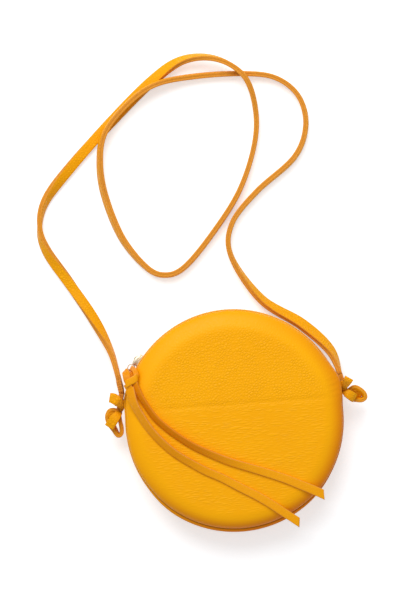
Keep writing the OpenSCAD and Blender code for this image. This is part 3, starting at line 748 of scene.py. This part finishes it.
def makeTail(name, node, points, end, flare, begin, paintedBandShade):
    # A tail spreads a little towards its cut end, and it leaves the hitch wider or narrower
    route = []
    for i, (x, y, lift, roll) in enumerate(points):
        spread = max(0, i + 1 - len(points) + laceSize["flareOver"]) / laceSize["flareOver"]
        early = max(0, laceSize["beginOver"] - i) / laceSize["beginOver"]
        route.append([x, y, restZ + lift, roll, 1 + flare * spread + begin * early])
    frames = routeFrames(route, laceSize["steps"], (hitchWay, end))
    section = bandSection(laceSize["width"], laceSize["thick"], 0.35, 0.0)
    bm = sweepBand(frames, section, slant=-0.66)
    # Painted shade along the tail, most near the hitch, where it tilts away from the lamp
    raiseMask(bm, "paintedBandShade", paintedBandShade, (65, 125))
    return finishPiece(name, bm, laceLeather, "pull", [node]), frames


def stubFrames(start, way, beyond=3):
    # The straight run of the strap through a tab, from the free strap to the knot
    far = start - way * (2 * stubHalf + beyond)
    return routeFrames([[*start, 90], [*far, 90]], 10, (-way, -way))


def makeKnot(name, node, bands, start, way):
    full = bandSection(strapSize["width"], strapSize["thick"], 0.5, 0.05, 0.3)
    section = bandSection(knotBand["width"], knotBand["thick"], 0.5, 0.15, 0.25)
    parts = [sweepBand(stubFrames(start, way), full)]
    for kind, route in bands.items():
        band = sweepBand(routeFrames(route, knotBand["steps"]), section)
        if kind == "end":
            # Pleats at the knot's end, with painted shade in their valleys
            raiseMask(band, "squeeze", 0.8, (7, 13))
        if kind == "inner":
            raiseMask(band, "squeeze", 0.3)
            # Painted shade on the inner band inside the loop
            raiseMask(band, "paintedBandShade", 0.3)
        parts.append(band)
    return finishPiece(name, joinBands(*parts), strapLeather, "bag", [node])


# x, y, z, roll and share of the width of the lace, from the wrap's left through the ring to the wrap's right
laceLoop = {
    "route": [
        [-83.6, 38.6, 45.2, 90, 1.2], [-84.4, 42, 45.8, 88, 1.35], [-84.8, 46, 44.4, 70, 1.4],
        [-85.6, 48.4, 39.5, 30, 1.3], [-86.2, 48.4, 31, 5, 1.1], [-85.8, 47.4, 22.5, 0, 1],
        [-83.6, 47.8, 18, 0, 1], [-81.8, 49.4, 18.6, 0, 1], [-81.1, 50.4, 23, 0, 1], [-80.8, 50.4, 30, 0, 1],
        [-79.4, 49.9, 36.5, -15, 1], [-77.6, 48.3, 41.8, -45, 1], [-76.8, 45, 44.6, -80, 1],
        [-78, 40.6, 45.2, -90, 1],
    ],
    "width": 4.4, "thick": 1.4, "out": (-0.85, 0.53, 0), "steps": 6,
    "inner": [
        [-81.6, 40.5, 43.6, 90, 1.2], [-81, 44, 42.6, 85, 1.2], [-80.7, 47, 39, 55, 1.1],
        [-80.9, 48.6, 33, 20, 1], [-81.1, 49.2, 26, 0, 1],
    ],
    "wrapSide": 4.7, "wrapUp": 2.0, "wrapThick": 1.5, "wrapWidth": 6.0, "wrapSkew": -2.0,
    "wrapTurn": 5, "wrapShift": (0.5, 0.4, 0), "neck": 5,
}


def makeHitch():
    look = laceLoop
    frames = routeFrames(look["route"], look["steps"], (-hitchWay, hitchWay), look["out"])
    inner = routeFrames(look["inner"], look["steps"], up=look["out"])
    section = bandSection(look["width"], look["thick"], 0.3, 0.1)
    bands = [sweepBand(frames, section), sweepBand(inner, section)]
    # Painted shade on the lace loop, most on the inner strand under it, least on the lit wrap
    raiseMask(bands[0], "paintedBandShade", 0.55)
    raiseMask(bands[1], "paintedBandShade", 0.9)
    turn = math.radians(look["wrapTurn"])
    side, way = Vector((math.cos(turn), math.sin(turn), 0)), Vector((math.sin(turn), -math.cos(turn), 0))
    middle = hitchMid + Vector(look["wrapShift"])
    around = loopFrames(middle, way, side, look["wrapSide"], look["wrapUp"], 2.8, 56, look["wrapSkew"])
    wrap = sweepBand(around, bandSection(look["wrapWidth"], look["wrapThick"], 0.35, 0.15), closed=True)
    raiseMask(wrap, "paintedBandShade", 0.05)
    bands.append(wrap)
    # Each tail runs on under the wrap
    for x, y, lift, roll in (upperRoute[0], lowerRoute[0]):
        near = Vector((x, y, restZ + lift)) + hitchWay * 0.4
        far = near - hitchWay * look["neck"]
        neck = sweepBand(routeFrames([[*far, roll], [*near, roll]], 6, (hitchWay, hitchWay)),
                         bandSection(laceSize["width"], laceSize["thick"], 0.35, 0.0))
        # Painted shade on the neck under the wrap
        raiseMask(neck, "paintedBandShade", 0.4)
        bands.append(neck)
    return finishPiece("laceHitch", joinBands(*bands), laceLeather, "pull", ["lace_hitch"])


tabSize = {"length": 6, "thick": 1.6, "middleR": 95.1, "halfOut": 3.7, "halfUp": 5.4, "power": 3.6}


def makeTab(name, node, turn):
    out = Vector((math.cos(math.radians(turn)), math.sin(math.radians(turn)), 0))
    along = Vector((-out.y, out.x, 0))
    middle = out * tabSize["middleR"] + Vector((0, 0, midZ))
    frames = loopFrames(middle, along, out, tabSize["halfOut"], tabSize["halfUp"], tabSize["power"], 64)
    bm = sweepBand(frames, bandSection(tabSize["length"], tabSize["thick"], 0.4, 0.1), closed=True)
    return finishPiece(name, bm, tabLeather, "bag", [node])


leftKnotPiece = makeKnot("leftKnot", "left_knot", leftKnot, leftStart, leftDir)
rightKnotPiece = makeKnot("rightKnot", "right_knot", rightKnot, rightStart, -rightDir)
laceHitch = makeHitch()
makeTab("leftTab", "left_tab", 90 + bag["tabAngle"])
makeTab("rightTab", "right_tab", 90 - bag["tabAngle"])
strap, strapFrames = makeStrap()
upperTail, upperFrames = makeTail("upperTail", "upper_tail", upperRoute, (9, -5, -0.8), 0.2, -0.1, 0.75)
lowerTail, lowerFrames = makeTail("lowerTail", "lower_tail", lowerRoute, (14, -11, -1), 0.1, 0.3, 0.25)
# Each tail and the hitch gets a mesh of its own
for piece in (upperTail, lowerTail):
    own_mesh(piece)
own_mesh(laceHitch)
print("strap and lace made,", round(frameLength(strapFrames)), "mm of strap")


# The bag's shell and what it holds

rollStart = bag["radius"] - bag["seamIn"] - bag["rollWidth"]
rimZ = bag["depth"] - bag["rimDepth"]
topRim = {
    "shift": 2.3, "from": 80, "lowZ": 29, "highZ": 33, "low": -50, "high": 30, "right": 1.0, "left": 0.6,
    "tabLeft": -1.0, "tabRight": 1.6, "tabY": 27, "tabHalf": 12,
}
# Painted shade on the rolled rim: a share all round, most towards the lower right, away from the lamp
rimShade = {"from": 79, "to": 89, "low": -70, "high": 110, "least": 0.25}
drawIn = {"left": (0.024, 8, 32), "right": (0.015, 2, 18), "lowFrom": -80, "lowTo": -46, "out": 0.012}
crease = {"left": (-64, 15), "right": (84, 12.8), "depth": 0.35, "half": 1.9}
gathers = {"leftAngle": 166, "rightAngle": 14, "spread": 6, "count": 3.2, "depth": 0.8}


def easeStep(low, high, value):
    t = min(max((value - low) / (high - low), 0.0), 1.0)
    return t * t * (3 - 2 * t)


def nearTab(x, y):
    return math.exp(-((y - topRim["tabY"]) / topRim["tabHalf"]) ** 2) if abs(x) > bag["radius"] / 2 else 0


def reachOut(bm):
    # Towards the top the rim covers more of the wall's turned edge, and it bulges at the tabs
    seamR = bag["radius"] - bag["seamIn"]
    for vert in bm.verts:
        radius = radiusOf(vert)
        if radius < topRim["from"]:
            continue
        z = max(vert.co.z, bag["depth"] - vert.co.z)
        near = easeStep(topRim["from"], seamR, radius)
        if radius >= seamR:
            near = (bag["radius"] - radius) / bag["seamIn"]
        height = vert.co.y + abs(vert.co.x) * (topRim["right"] if vert.co.x > 0 else topRim["left"])
        near = max(near, 0.0) * easeStep(topRim["lowZ"], topRim["highZ"], z)
        shift = topRim["shift"] * easeStep(topRim["low"], topRim["high"], height)
        shift += topRim["tabRight" if vert.co.x > 0 else "tabLeft"] * nearTab(vert.co.x, vert.co.y)
        grow = 1 + shift * near / radius
        vert.co.x *= grow
        vert.co.y *= grow


def settle(bm):
    # The soft shell is drawn in at its sides and puckers at the tabs
    reachOut(bm)
    for vert in bm.verts:
        x, y, z = vert.co
        most, fadeFrom, fadeTo = drawIn["right" if x > 0 else "left"]
        share = easeStep(drawIn["lowFrom"], drawIn["lowTo"], y) * (1 - easeStep(fadeFrom, fadeTo, y))
        vert.co.x = x * (1 - most * share + drawIn["out"] * nearTab(x, y))
        radius = math.hypot(x, y)
        if radius > 78:
            turn = math.degrees(math.atan2(y, x))
            for middle in (gathers["leftAngle"], gathers["rightAngle"]):
                near = math.exp(-((turn - middle) / gathers["spread"]) ** 2)
                fold = math.sin(math.radians((turn - middle) * 360 / gathers["count"]))
                low = easeStep(78, 86, radius) * (1 - easeStep(88, 91, radius))
                vert.co.z -= gathers["depth"] * near * low * (0.6 + 0.4 * fold) * (1 if z > midZ else -1)


def sinkFold(bm):
    (x1, y1), (x2, y2) = crease["left"], crease["right"]
    for vert in bm.verts:
        x, y, z = vert.co
        line = y1 + (y2 - y1) * (x - x1) / (x2 - x1)
        fade = easeStep(x1 - 14, x1 + 16, x) * (1 - easeStep(x2 - 14, x2 + 4, x))
        vert.co.z -= crease["depth"] * fade * math.exp(-((y - line) / crease["half"]) ** 2)
        if radiusOf(vert) < rollStart + 4:
            uneven = noise.noise(Vector((x / 26, y / 26, 0.3)))
            vert.co.z += 0.14 * uneven


def radiusOf(vert):
    return math.hypot(vert.co.x, vert.co.y)


def rollArc(inset, count=14, lowest=0.0):
    # The rolled rim in section, from the flat of the face out to its side
    arc = []
    power = 2 / bag["rollPower"]
    for i in range(count + 1):
        t = math.pi / 2 * i / count
        r = rollStart + (bag["rollWidth"] - inset) * math.sin(t) ** power
        z = rimZ + (bag["rimDepth"] - inset) * max(math.cos(t), 0.0) ** power
        if z >= lowest:
            arc.append((r, z))
    return arc


def spinOutline(outline, start=0.0, sweep=360.0, steps=400, close=False, middle=90.0):
    # Turns a section round the bag's axis; wallPlace keeps the place round, up and through the wall
    bm = bmesh.new()
    turn = Matrix.Rotation(math.radians(start), 3, "Z")
    ring = [bm.verts.new(turn @ Vector((r, 0, z))) for r, z in outline]
    edges = [bm.edges.new(pair) for pair in zip(ring, ring[1:])]
    if close:
        edges.append(bm.edges.new((ring[-1], ring[0])))
    full = sweep >= 360
    bmesh.ops.spin(bm, geom=ring + edges, cent=(0, 0, 0), axis=(0, 0, 1), dvec=(0, 0, 0),
                   angle=math.radians(sweep), space=Matrix.Identity(4), steps=steps, use_merge=full)
    bmesh.ops.remove_doubles(bm, verts=bm.verts, dist=0.004)
    if not full:
        bmesh.ops.holes_fill(bm, edges=[edge for edge in bm.edges if edge.is_boundary], sides=0)
    bmesh.ops.recalc_face_normals(bm, faces=bm.faces)
    layer = bm.verts.layers.float_vector.new("wallPlace")
    back = Matrix.Rotation(math.radians(-middle), 3, "Z")
    for vert in bm.verts:
        turned = back @ vert.co
        vert[layer] = (math.atan2(turned.y, turned.x) * bag["radius"], vert.co.z, radiusOf(vert))
    return bm


def markSeam(bm, reach=1.2):
    # Darkens the leather next to the seam under the rim, a dark seam line with painted shade beside it, and
    # paints shade on the rolled rim, deepest towards the lower right away from the lamp
    layer = bm.verts.layers.float.new("seamLineAndShade")
    tone = bm.verts.layers.float.new("paintedRimShade")
    seamR = bag["radius"] - bag["seamIn"]
    for vert in bm.verts:
        # Painted shade on the rolled rim, weighted towards the lower right
        lowRight = easeStep(rimShade["low"], rimShade["high"], vert.co.x - vert.co.y)
        rimShadeAmount = rimShade["least"] + (1 - rimShade["least"]) * lowRight
        vert[tone] = rimShadeAmount * easeStep(rimShade["from"], rimShade["to"], radiusOf(vert))
        z = max(vert.co.z, bag["depth"] - vert.co.z)
        away = math.hypot(radiusOf(vert) - seamR, (z - rimZ + 0.4) * 0.5)
        # The painted shade by the seam is lighter towards the upper left, where the lamp is
        low = 1 - 0.3 * easeStep(-60, 60, vert.co.y - vert.co.x * 0.5)
        vert[layer] = max(0.0, 1 - away / reach) * low
        # Painted shade on the left wall beside the tab
        if z < rimZ and vert.co.x < 0:
            vert[layer] = max(vert[layer], 0.7 * nearTab(vert.co.x, vert.co.y))


def toBack(bm):
    for vert in bm.verts:
        vert.co.z = bag["depth"] - vert.co.z
    bmesh.ops.reverse_faces(bm, faces=bm.faces)


def followMouth(piece):
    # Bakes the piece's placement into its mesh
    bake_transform(piece)
    return piece


def flatRings(z, gap=1.5):
    count = int(rollStart / gap)
    return [(rollStart * i / count, z) for i in range(count)]


def makePanel():
    t = bag["leather"]
    seamR = bag["radius"] - bag["seamIn"]
    outer = flatRings(bag["depth"]) + rollArc(0)
    hemLine = [(seamR - 0.1, rimZ - 0.1), (seamR - 0.5, rimZ - 0.25), (seamR - t + 0.2, rimZ - 0.2)]
    inner = list(reversed(flatRings(bag["depth"] - t, 6) + rollArc(t, 8)))
    bm = spinOutline(outer + hemLine + inner, steps=320)
    markSeam(bm)
    return bm


def makeShell():
    face = makePanel()
    back = face.copy()
    sinkFold(face)
    settle(face)
    front = finishPiece("frontLeather", face, panelLeather, None,
                        ["front_panel_lower", "front_panel_upper"])
    followMouth(front)
    toBack(back)
    settle(back)
    finishPiece("backLeather", back, panelLeather, "bag", ["back_panel"])


def shoulder(radius, count=7):
    # Quarter round from the wall in to the seam
    cx, cz = bag["radius"] - bag["seamIn"], rimZ - 0.3 - bag["seamIn"]
    turns = [math.pi / 2 * i / count for i in range(count + 1)]
    return [(cx + radius * math.cos(turn), cz + radius * math.sin(turn)) for turn in turns]


def wallHalf(lowZ):
    # Section of the wall from lowZ up to its hem under the rim: outside upwards, then inside downwards
    t = bag["leather"]
    outside = [(bag["radius"], lowZ + (shoulder(3.2)[0][1] - lowZ) * i / 4) for i in range(4)]
    outside += shoulder(bag["seamIn"])[:-1]
    seamR = bag["radius"] - bag["seamIn"]
    hemLine = [(seamR + 0.15, rimZ - 0.55), (seamR - 0.4, rimZ - 0.32), (seamR - t, rimZ - 0.3),
               (seamR - t, rimZ - 0.3 - t)]
    inside = list(reversed(shoulder(bag["seamIn"] - t)))
    return outside + hemLine, inside


gussetEnd = bag["tabAngle"] - math.degrees(3 / bag["radius"]) - 0.6
stripEnd = gussetEnd - 0.04
zipHalf = 5


def makeGusset():
    up, down = wallHalf(midZ)
    inner = bag["radius"] - bag["leather"]
    flip = lambda line: [(r, bag["depth"] - z) for r, z in reversed(line)]
    outline = flip(up)[:-1] + up + down + [(inner, midZ)] + flip(down)
    bm = spinOutline(outline, 90 + gussetEnd, 360 - 2 * gussetEnd, 240, close=True, middle=-90)
    markSeam(bm)
    settle(bm)
    gusset = finishPiece("lowerGusset", bm, panelLeather, None, ["lower_gusset"])
    return followMouth(gusset)


def makeZipStrip(name, node, back):
    lowZ = midZ + zipHalf + 0.8
    t = bag["leather"]
    up, down = wallHalf(lowZ)
    middleR = bag["radius"] - t / 2
    turns = [math.pi * i / 6 for i in range(1, 6)]
    fold = [(middleR - t / 2 * math.cos(turn), lowZ - t / 2 * math.sin(turn)) for turn in turns]
    outline = up + down + [(bag["radius"] - t, lowZ)] + fold
    bm = spinOutline(outline, 90 - stripEnd, 2 * stripEnd, 170, close=True)
    markSeam(bm)
    if back:
        toBack(bm)
    settle(bm)
    strip = finishPiece(name, bm, panelLeather, "bag" if back else None, [node])
    return strip if back else followMouth(strip)


def makeBand(name, node, material, r1, r2, z1, z2, back=False, wall="strip"):
    # Cloth band inside the wall, with its edges eased
    e = (r2 - r1) * 0.3
    outline = [(r2, z1 + e), (r2, (z1 + z2) / 2), (r2, z2 - e), (r2 - e, z2), (r1 + e, z2), (r1, z2 - e),
               (r1, (z1 + z2) / 2), (r1, z1 + e), (r1 + e, z1), (r2 - e, z1)]
    if wall == "strip":
        bm = spinOutline(outline, 90 - stripEnd, 2 * stripEnd, 150, close=True)
    else:
        bm = spinOutline(outline, 90 + gussetEnd, 360 - 2 * gussetEnd, 220, close=True, middle=-90)
    if back:
        toBack(bm)
    settle(bm)
    piece = finishPiece(name, bm, material, "bag" if back else None, [node])
    return piece if back else followMouth(piece)


discR = 86.4


def makeDisc(name, nodes, material, z1, z2, back=False):
    e = (z2 - z1) * 0.35
    steps = [discR * i / 20 for i in range(20)]
    top = [(r, z2) for r in steps] + [(discR - e, z2), (discR, z2 - e)]
    under = [(discR, z1 + e), (discR - e, z1)] + [(r, z1) for r in reversed(steps)]
    bm = spinOutline(top + under, steps=160)
    if back:
        toBack(bm)
    settle(bm)
    piece = finishPiece(name, bm, material, "bag" if back else None, nodes)
    return piece if back else followMouth(piece)


def makePadding(name, nodes, back):
    boardTop = boxInMm("front_board_lower")[1][2]
    arc = rollArc(bag["leather"] + 0.15, 16, boardTop + 0.6)
    top = [(rollStart * i / 24, arc[0][1]) for i in range(24)] + arc
    under = [(arc[-1][0] - 0.3, boardTop + 0.1)]
    under += [(80 * i / 16, boardTop + 0.1) for i in range(16, -1, -1)]
    bm = spinOutline(top + under, steps=200)
    if back:
        toBack(bm)
    settle(bm)
    piece = finishPiece(name, bm, paddingFelt, "bag" if back else None, nodes)
    return piece if back else followMouth(piece)


makeShell()
makeGusset()
makeZipStrip("frontZipStrip", "front_zip_strip", False)
makeZipStrip("backZipStrip", "back_zip_strip", True)
print("leather shell made")

makePadding("frontPadding", ["front_padding_lower", "front_padding_upper"], False)
makePadding("backPadding", ["back_padding"], True)
boardLow, boardHigh = boxInMm("front_board_lower")
liningLow, liningHigh = boxInMm("front_lining_lower")
makeDisc("frontBoard", ["front_board_lower", "front_board_upper"], fibreBoard,
         boardLow[2], boardHigh[2])
makeDisc("backBoard", ["back_board"], fibreBoard, boardLow[2], boardHigh[2], True)
frontLining = makeDisc("frontLining", ["front_lining_lower", "front_lining_upper"], liningCloth,
                       liningLow[2], liningHigh[2])
backLining = makeDisc("backLining", ["back_lining"], liningCloth,
                      liningLow[2], liningHigh[2], True)
gussetLining = makeBand("gussetLining", "gusset_lining", wallCloth,
                        89.6, 90.2, 12.3, 31.7, wall="gusset")
makeBand("frontStripLining", "front_strip_lining", wallCloth, 88.3, 88.9, 27.5, 32.8)
makeBand("backStripLining", "back_strip_lining", wallCloth, 88.3, 88.9, 27.5, 32.8, True)
makeBand("frontZipTape", "front_zip_tape", tapeCloth, 89.3, 90.0, 24, 31)
makeBand("backZipTape", "back_zip_tape", tapeCloth, 89.3, 90.0, 24, 31, True)
print("padding, boards, linings and tapes made")


# Slip pocket, stitches, and the crown of the slider

pocketSize = {"hem": 7, "hemThick": 0.5, "corner": 9, "cells": (44, 32), "sag": 0.5, "stitchIn": 2}
stitchSize = {"pitch": 3.2, "length": 2.1, "thick": 0.5, "fromEdge": 1.5}


def roundCorners(bm, low, high, corner):
    # Draws the two lower corners of a flat grid in to a quarter round
    for vert in bm.verts:
        x = min(vert.co.x - low[0], high[0] - vert.co.x)
        y = vert.co.y - low[1]
        if x < corner and y < corner:
            away = Vector((corner - x, corner - y))
            square = max(away.x, away.y)
            inside = away * (square / away.length) if away.length else away
            side = 1 if vert.co.x > (low[0] + high[0]) / 2 else -1
            vert.co.x += side * (away.x - inside.x)
            vert.co.y += away.y - inside.y


def makePocket():
    # A flat cloth pocket on the back lining, with its open edge towards the zip and a turned hem there
    low, high = boxInMm("slip_pocket")
    thick = high[2] - low[2]
    bm = bmesh.new()
    bmesh.ops.create_grid(bm, x_segments=pocketSize["cells"][0], y_segments=pocketSize["cells"][1], size=1)
    bmesh.ops.scale(bm, vec=((high[0] - low[0]) / 2, (high[1] - low[1]) / 2, 1), verts=bm.verts)
    bmesh.ops.translate(bm, vec=((low[0] + high[0]) / 2, (low[1] + high[1]) / 2, low[2]), verts=bm.verts)
    roundCorners(bm, low, high, pocketSize["corner"])
    for vert in bm.verts:
        across = (vert.co.x - low[0]) / (high[0] - low[0])
        vert.co.y -= pocketSize["sag"] * math.sin(math.pi * across) * easeStep(0, high[1], vert.co.y)
    bmesh.ops.solidify(bm, geom=bm.faces[:] + bm.edges[:] + bm.verts[:], thickness=-thick)
    bmesh.ops.recalc_face_normals(bm, faces=bm.faces)
    for vert in bm.verts:
        if vert.co.z > low[2] + thick / 2 and vert.co.y > high[1] - pocketSize["hem"]:
            vert.co.z += pocketSize["hemThick"]
    pocket = finishPiece("slipPocket", bm, liningCloth, "bag", ["slip_pocket"], smooth=False)
    hemY = high[1] - pocketSize["hem"] + pocketSize["stitchIn"]
    places = []
    count = int((high[0] - low[0] - 6) / stitchSize["pitch"])
    for i in range(count + 1):
        x = low[0] + 3 + i * stitchSize["pitch"]
        places.append(Matrix.Translation((x, hemY, low[2] + thick + pocketSize["hemThick"])))
    hem = finishPiece("pocketStitches", sewRow(places), sewingThread, "bag")


def sewRow(places):
    # A stitch at each place: X along the seam, Z out of the cloth
    bm = bmesh.new()
    form = Matrix.Diagonal((stitchSize["length"], stitchSize["thick"], stitchSize["thick"], 1))
    for place in places:
        bmesh.ops.create_icosphere(bm, subdivisions=1, radius=0.5, matrix=place @ form)
    return bm


def sewZipEdge(name, back):
    # One row along the leather strip beside the zip
    radius = bag["radius"] - 0.15
    z = midZ + zipHalf + 0.8 + stitchSize["fromEdge"]
    step = math.degrees(stitchSize["pitch"] / radius)
    places = []
    for i in range(int((2 * stripEnd - 3) / step) + 1):
        turn = Matrix.Rotation(math.radians(90 - stripEnd + 1.5 + i * step), 4, "Z")
        frameOf = Matrix(((0, 0, 1, radius), (1, 0, 0, 0), (0, 1, 0, z), (0, 0, 0, 1)))
        places.append(turn @ frameOf)
    bm = sewRow(places)
    if back:
        toBack(bm)
    settle(bm)
    row = finishPiece(name, bm, sewingThread, "bag" if back else None)
    if not back:
        followMouth(row)


# Along the zip and up from the slider's plate
crown = {
    "outline": [(-5.2, 0), (-5.2, 2.2), (-4.6, 3.3), (-2, 3.9), (1.5, 4.3), (3.8, 4.4), (4.9, 3.7),
                (5.2, 2.4), (5.2, 0)],
    "baseR": 92.5, "angle": 53, "gap": 1.35, "thick": 1.0, "bevel": 0.28,
}


def makeCrown():
    # Two cheeks on the slider's upper plate, on either side of the pull
    bm = bmesh.new()
    for side in (-1, 1):
        z = midZ + side * crown["gap"]
        ring = [bm.verts.new((crown["baseR"] + up, along, z)) for along, up in crown["outline"]]
        made = bmesh.ops.extrude_face_region(bm, geom=[bm.faces.new(ring)])["geom"]
        moved = [part for part in made if isinstance(part, bmesh.types.BMVert)]
        bmesh.ops.translate(bm, vec=(0, 0, side * crown["thick"]), verts=moved)
    bmesh.ops.holes_fill(bm, edges=[edge for edge in bm.edges if edge.is_boundary], sides=0)
    bmesh.ops.recalc_face_normals(bm, faces=bm.faces)
    bmesh.ops.bevel(bm, geom=bm.edges[:], offset=crown["bevel"], segments=2, profile=0.5,
                    affect="EDGES", material=-1, clamp_overlap=True)
    turn = Matrix.Rotation(math.radians(90 + crown["angle"]), 4, "Z")
    bmesh.ops.transform(bm, matrix=turn, verts=bm.verts)
    finishPiece("sliderCrown", bm, sliderMetal, "slider")


makePocket()
sewZipEdge("frontStitches", False)
sewZipEdge("backStitches", True)
makeCrown()
print("pocket, stitches and slider crown made")


# Metal parts that keep the frame's shape

for node in ("front_zip_teeth", "back_zip_teeth", "front_top_stop", "back_top_stop", "bottom_stop"):
    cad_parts[node].data.materials.clear()
    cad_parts[node].data.materials.append(zipMetal)
for node in ("zip_slider", "pull_link"):
    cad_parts[node].data.materials.clear()
    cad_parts[node].data.materials.append(sliderMetal)
